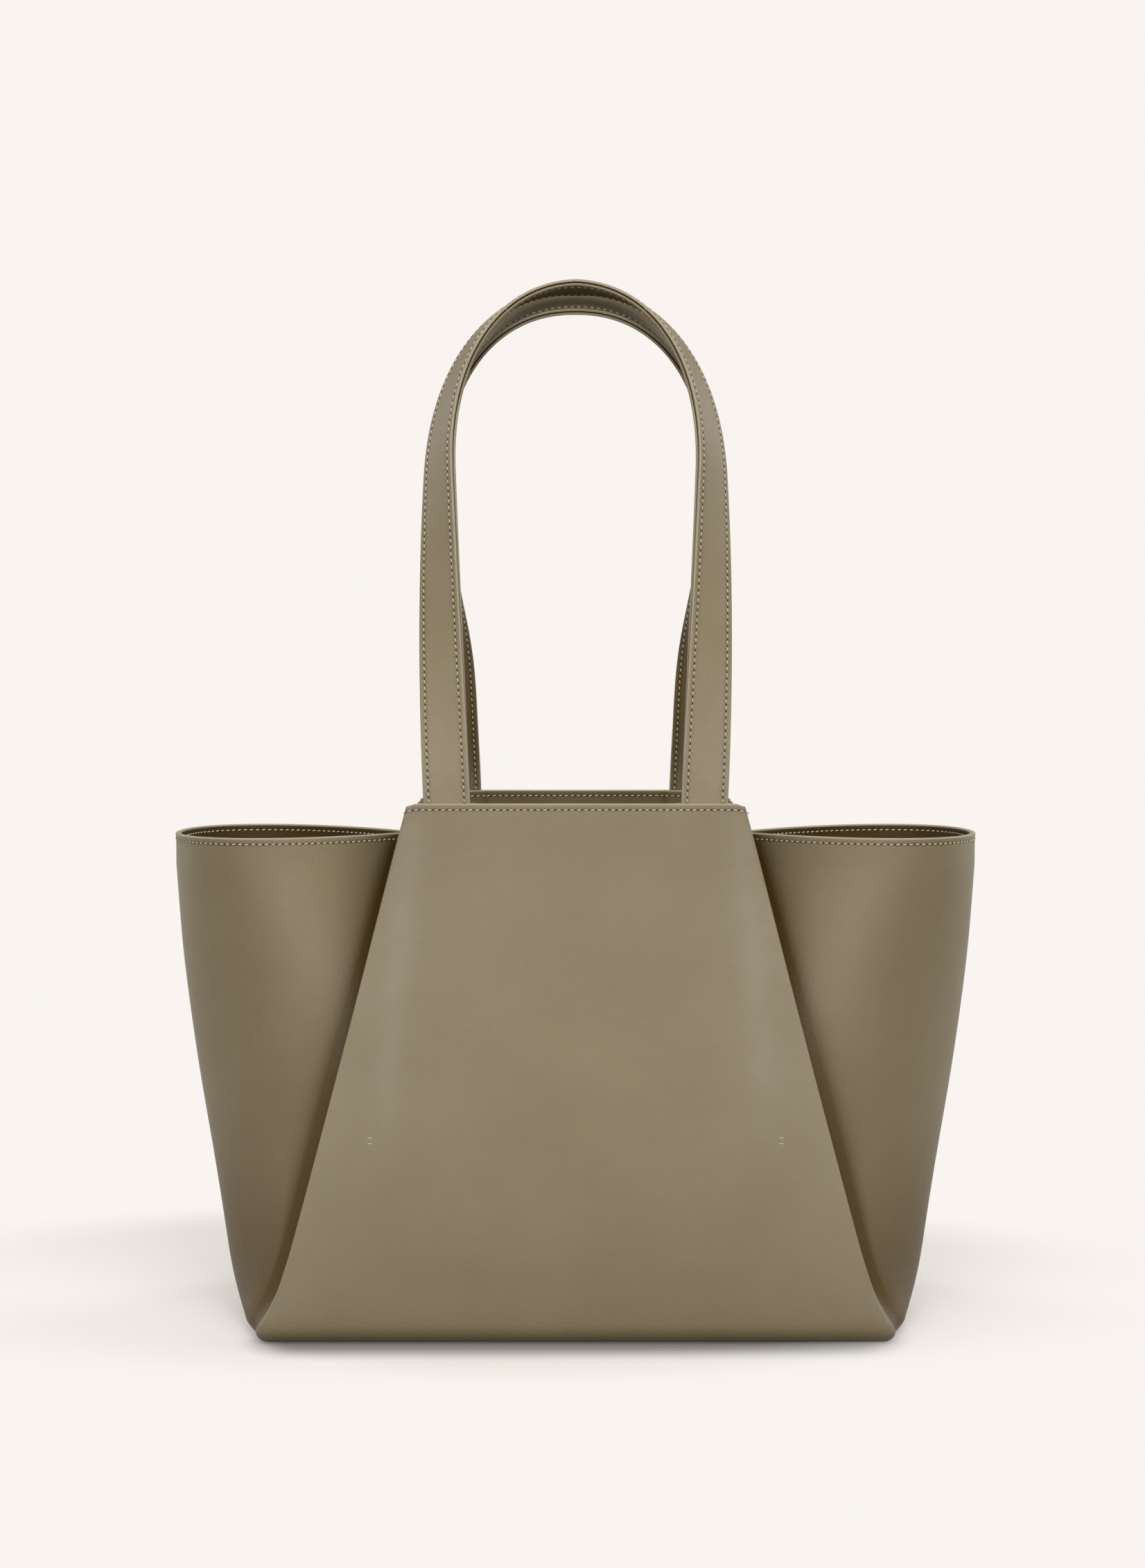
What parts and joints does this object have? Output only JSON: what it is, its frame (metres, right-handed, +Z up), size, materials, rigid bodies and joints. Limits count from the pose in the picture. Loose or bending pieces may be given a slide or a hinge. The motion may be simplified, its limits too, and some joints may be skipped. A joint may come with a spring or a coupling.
{
  "type": "trapeze bag",
  "caption": "Open-topped trapeze tote of stiff leather: trapezoid panels with folded sides, flared side wings and twisted strap handles that fold outwards.",
  "frame": {"origin": "middle of the base, on the surface the bag stands on", "axes": "+X to the bag's right side as seen from the front, +Y from the front panel to the back panel, +Z up"},
  "size_m": [0.457, 0.1512, 0.5798],
  "materials": {
    "outer_leather": "satin, small plain grain",
    "strap_leather": "satin, with painted edges",
    "lining_leather": "matt",
    "board": "matt",
    "thread": "matt waxed thread"
  },
  "bodies": {
    "bag": {"front_panel": "outer_leather", "back_panel": "outer_leather", "left_wing": "outer_leather", "right_wing": "outer_leather", "base_panel": "outer_leather", "front_lining": "lining_leather", "back_lining": "lining_leather", "left_wing_lining": "lining_leather", "right_wing_lining": "lining_leather", "base_lining": "lining_leather", "base_board": "board", "front_fold_tacks": "thread", "back_fold_tacks": "thread", "front_strap_ends": "strap_leather", "back_strap_ends": "strap_leather"},
    "front_handle": {"front_handle_face": "strap_leather", "front_handle_backing": "strap_leather"},
    "back_handle": {"back_handle_face": "strap_leather", "back_handle_backing": "strap_leather"}
  },
  "joints": [
    {"name": "front_handle_swing", "type": "hinge", "parent": "bag", "child": "front_handle", "pos_m": [0, -0.0754, 0.302], "axis": [1, 0, 0], "range_deg": [0, 178]},
    {"name": "back_handle_swing", "type": "hinge", "parent": "bag", "child": "back_handle", "pos_m": [0, 0.0754, 0.302], "axis": [-1, 0, 0], "range_deg": [0, 178]}
  ]
}
